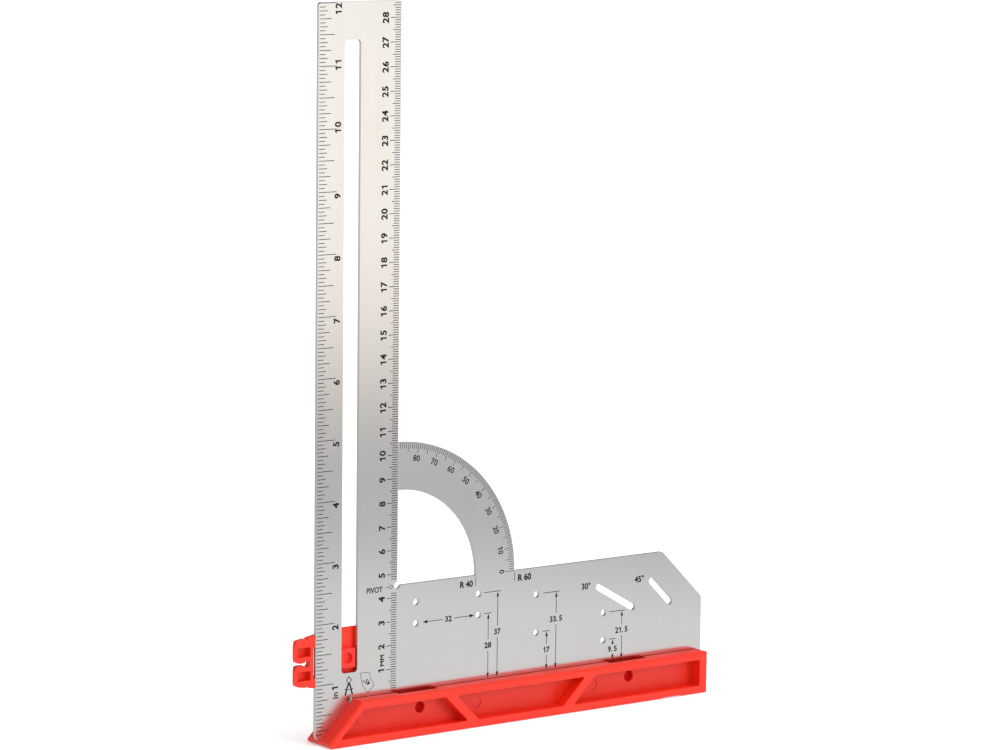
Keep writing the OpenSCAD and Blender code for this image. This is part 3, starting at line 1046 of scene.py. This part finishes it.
@dataclass(frozen=True)
class Studio:
    """Camera, lamps, floor and white surroundings.

    Attributes:
        azimuth: Camera's azimuth in degrees; 0 looks along +Y.
        elevation: Its height above the horizon in degrees.
        roll: Its roll in degrees.
        focal: Focal length in pixels of a picture 1000 wide.
        target: Point that the camera's frame is built on.
        offset: Camera's place from the target, right, up and back.
        picture_w: Width of the picture in pixels.
        sensor_w: Width of the camera's sensor.
        lamps: The lamps.
        ambient: Strength of the surroundings as a light.
        mirrored: Their strength in reflections, level and high up.
        mirrored_rise: Upward part of the direction where that starts and ends.
        floor_half: Half the floor's side.
        floor_tone: Colour of the floor.
        melt: Distances in metres between which the floor's glow to the camera grows.
        melt_glow: That glow at those distances.
        table: Glow of the floor in reflections: distance in metres, red, green and blue.
        table_glow: Strength by which those colours are multiplied.
    """

    azimuth: float = -35.9078
    elevation: float = 8.3333
    roll: float = 0.6519
    focal: float = 4155.17
    target: tuple[float, float, float] = (80.0, -0.75, 168.2)
    offset: tuple[float, float, float] = (-23.548, -22.733, 1751.967)
    picture_w: float = 1000.0
    sensor_w: float = 36.0
    lamps: tuple[Softbox, ...] = (
        Softbox("key", (350.0, -1100.0, 420.0), (700.0, 700.0), 6.6),
        Softbox("top", (200.0, -180.0, 950.0), (1200.0, 700.0), 7.4),
        Softbox("fill", (-950.0, -750.0, 300.0), (900.0, 900.0), 3.7),
    )
    ambient: float = 0.45
    mirrored: Pair = (0.9, 0.25)
    mirrored_rise: Pair = (0.15, 0.5)
    floor_half: float = 15000.0
    floor_tone: Colour = (0.86, 0.86, 0.86)
    melt: Pair = (0.2, 0.9)
    melt_glow: Pair = (0.3, 1.0)
    table: tuple[tuple[float, float, float, float], ...] = (
        (0.29, 0.66, 0.66, 0.66), (0.38, 0.56, 0.56, 0.56),
        (0.49, 0.45, 0.45, 0.45), (0.78, 0.43, 0.43, 0.43),
        (1.15, 0.74, 0.71, 0.67), (1.35, 0.96, 0.89, 0.81),
        (1.80, 0.98, 0.95, 0.89), (3.00, 0.99, 0.96, 0.91),
    )
    table_glow: float = 1.2

    def camera(self) -> None:
        """Makes the camera: its axes come from azimuth, elevation and roll."""
        a, e, r = (math.radians(v) for v in (self.azimuth, self.elevation, self.roll))
        back = np.array([math.sin(a) * math.cos(e), -math.cos(a) * math.cos(e), math.sin(e)])
        right = np.array([math.cos(a), math.sin(a), 0.0])
        up = np.cross(back, right)
        axes = np.array([right * math.cos(r) + up * math.sin(r),
                         up * math.cos(r) - right * math.sin(r), back])
        place = np.array(self.target) + axes.T @ np.array(self.offset)
        data = bpy.data.cameras.new("camera")
        data.sensor_width = self.sensor_w
        data.lens = self.focal / self.picture_w * self.sensor_w
        data.clip_start, data.clip_end = 0.05, 100.0
        holder = bpy.data.objects.new("camera", data)
        bpy.context.scene.collection.objects.link(holder)
        matrix = Matrix([list(row) for row in axes.T]).to_4x4()
        matrix.translation = Vector((place * MM).tolist())
        holder.matrix_world = matrix
        bpy.context.scene.camera = holder

    def world(self) -> None:
        """Makes the surroundings: white where seen, dimmer as a light and in reflections.

        Reflections grow darker upwards, as under a studio's ceiling.
        """
        world = bpy.data.worlds.new("surroundings")
        world.use_nodes = True
        bpy.context.scene.world = world
        shader = Shader(world.node_tree)
        background = world.node_tree.nodes["Background"]
        background.inputs["Color"].default_value = (*WHITE, 1.0)
        seen = shader.math("MAXIMUM", shader.ray("Is Camera Ray"),
                           shader.ray("Is Transmission Ray"))
        way = shader.add("ShaderNodeTexCoord").outputs["Generated"]
        mirrored = shader.between(shader.part(way, "Z"), self.mirrored_rise, self.mirrored)
        indirect = shader.weigh(shader.ray("Is Glossy Ray"), self.ambient, mirrored)
        shader.wire(shader.weigh(seen, indirect, 1.0), background.inputs["Strength"])

    def floor(self) -> None:
        """Makes the floor: a pale plane that shows white and keeps the shadow.

        To the camera it glows more with distance, so that it melts into the
        white surroundings. In reflections it is a plain glow that changes
        with distance, as a studio table does, which shades the blade.
        """
        half = self.floor_half * MM
        corners = [(-half, -half, 0), (half, -half, 0), (half, half, 0), (-half, half, 0)]
        mesh = bpy.data.meshes.new("floor")
        mesh.from_pydata(corners, [], [(0, 1, 2, 3)])
        piece = bpy.data.objects.new("floor", mesh)
        bpy.context.scene.collection.objects.link(piece)
        material = bpy.data.materials.new("floor")
        material.use_nodes = True
        mesh.materials.append(material)
        shader = Shader(material.node_tree)
        surface = material.node_tree.nodes["Principled BSDF"]
        surface.inputs["Base Color"].default_value = (*self.floor_tone, 1.0)
        surface.inputs["Roughness"].default_value = 0.9
        surface.inputs["Specular IOR Level"].default_value = 0.1
        length = {"operation": "LENGTH"}
        away = shader.add("ShaderNodeVectorMath", length, i0=shader.place()).outputs["Value"]
        glow = shader.add("ShaderNodeEmission", Color=(*WHITE, 1.0),
                          Strength=shader.between(away, self.melt, self.melt_glow))
        mirrored = shader.add("ShaderNodeEmission", Color=self.table_colour(shader, away),
                              Strength=self.table_glow)
        lit = shader.add("ShaderNodeAddShader", i0=surface.outputs[0], i1=glow.outputs[0])
        direct = shader.add("ShaderNodeMixShader", i0=shader.ray("Is Camera Ray"),
                            i1=surface.outputs[0], i2=lit.outputs[0])
        last = shader.add("ShaderNodeMixShader", i0=shader.ray("Is Glossy Ray"),
                          i1=direct.outputs[0], i2=mirrored.outputs[0])
        shader.wire(last.outputs[0], material.node_tree.nodes["Material Output"].inputs["Surface"])

    def table_colour(self, shader: Shader, away: Socket) -> Socket:
        """Gives the floor's colour in reflections by the distance.

        Args:
            shader: Helper of the floor's tree.
            away: Distance from the part, in metres.

        Returns:
            The colour.
        """
        farthest = self.table[-1][0]
        shade = shader.add("ShaderNodeValToRGB", Fac=shader.math("DIVIDE", away, farthest))
        stops = shade.color_ramp.elements
        for index, (distance, *colour) in enumerate(self.table):
            stop = stops[index] if index < 2 else stops.new(1.0)
            stop.position, stop.color = distance / farthest, (*colour, 1.0)
        return shade.outputs["Color"]

    def build(self) -> None:
        """Makes the whole studio."""
        bpy.context.scene.view_settings.view_transform = "Standard"
        self.camera()
        self.world()
        self.floor()
        for lamp in self.lamps:
            lamp.build()


def main() -> None:
    """Builds the square, its marks and the studio."""
    steel = BrushedSteel("brushed_steel", (0.80, 0.79, 0.78), 0.23, edge=0.12)
    ink = EtchedBlack("etched_black", (0.006, 0.006, 0.007), 0.75)
    red = MouldedRed("red_plastic", (0.82, 0.021, 0.004), 0.40, edge=0.3)
    # The stock's recess floors take painted shade.
    stock_red = replace(red, name="stock_red", floor_y=2.7)
    # The pins' red is darkened as painted shade for their deep holes.
    pin_red_painted_shade = MouldedRed("pin_red_painted_shade", (0.46, 0.001, 0.001), 0.5, edge=0.2,
                         deep=(0.40, 0.001, 0.001), sheen=0.1)
    nickel = TurnedMetal("magnet_nickel", (0.72, 0.71, 0.69), 0.2)
    for part in (Blade(steel, ink), Stock(stock_red, pin_red_painted_shade), Slider(red, nickel), Studio()):
        part.build()
    LOG.info("all pieces made")


if __name__ == "__main__":
    logging.basicConfig(level=logging.INFO, format="%(message)s")
    main()
